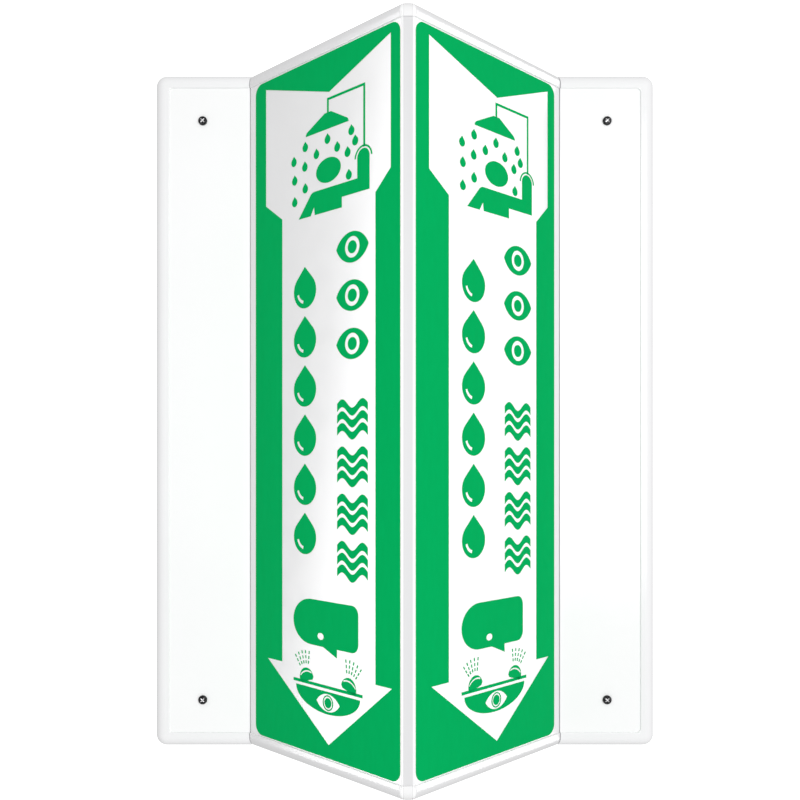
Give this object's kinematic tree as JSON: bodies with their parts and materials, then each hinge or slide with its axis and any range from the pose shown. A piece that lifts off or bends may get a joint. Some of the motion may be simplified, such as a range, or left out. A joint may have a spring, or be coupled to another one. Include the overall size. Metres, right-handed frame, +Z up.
{
  "type": "projecting wall sign",
  "caption": "V-shaped projecting wall sign in white moulded plastic, with green printed down-arrow faces, living-hinge folds and two screw-on wall flanges.",
  "frame": {"origin": "centre of the four fixing holes, on the wall plane", "axes": "+Z up, +Y into the wall, the front of the sign looks along -Y, +X to the right as seen from the front"},
  "size_m": [0.453, 0.1744, 0.6096],
  "materials": {
    "white_plastic": "moulded, semi-gloss",
    "nose_plastic": "moulded, semi-gloss, thinner and greyer than the faces",
    "hinge_skin": "thin moulded skin",
    "green_print": "printed ink, satin",
    "black_screw": "black zinc plated steel"
  },
  "bodies": {
    "left_flange": {"left_flange": "white_plastic", "left_flange_hinge": "hinge_skin", "upper_left_screw": "black_screw", "lower_left_screw": "black_screw"},
    "left_face": {"left_face": "white_plastic", "left_print": "green_print", "left_nose_hinge": "hinge_skin"},
    "nose": {"nose_strip": "nose_plastic"},
    "right_face": {"right_face": "white_plastic", "right_print": "green_print", "right_nose_hinge": "hinge_skin"},
    "right_flange": {"right_flange": "white_plastic", "right_flange_hinge": "hinge_skin", "upper_right_screw": "black_screw", "lower_right_screw": "black_screw"}
  },
  "joints": [
    {"name": "left_flange_fold", "type": "hinge", "parent": "left_flange", "child": "left_face", "pos_m": [-0.13898, -0.00923, 0], "axis": [0, 0, 1], "range_deg": [0, 45], "deforming": ["left_flange_hinge"]},
    {"name": "left_nose_fold", "type": "hinge", "parent": "left_face", "child": "nose", "pos_m": [-0.00457, -0.14631, 0], "axis": [0, 0, 1], "range_deg": [-45, 0], "deforming": ["left_nose_hinge"]},
    {"name": "right_nose_fold", "type": "hinge", "parent": "nose", "child": "right_face", "pos_m": [0.00457, -0.14631, 0], "axis": [0, 0, 1], "range_deg": [-45, 0], "deforming": ["right_nose_hinge"]},
    {"name": "right_flange_fold", "type": "hinge", "parent": "right_face", "child": "right_flange", "pos_m": [0.13898, -0.00923, 0], "axis": [0, 0, 1], "range_deg": [0, 45], "deforming": ["right_flange_hinge"]}
  ],
  "couplings": [
    {"joint": "left_nose_fold", "follows": "left_flange_fold", "ratio": -1},
    {"joint": "right_nose_fold", "follows": "left_flange_fold", "ratio": -1},
    {"joint": "right_flange_fold", "follows": "left_flange_fold", "ratio": 1}
  ]
}
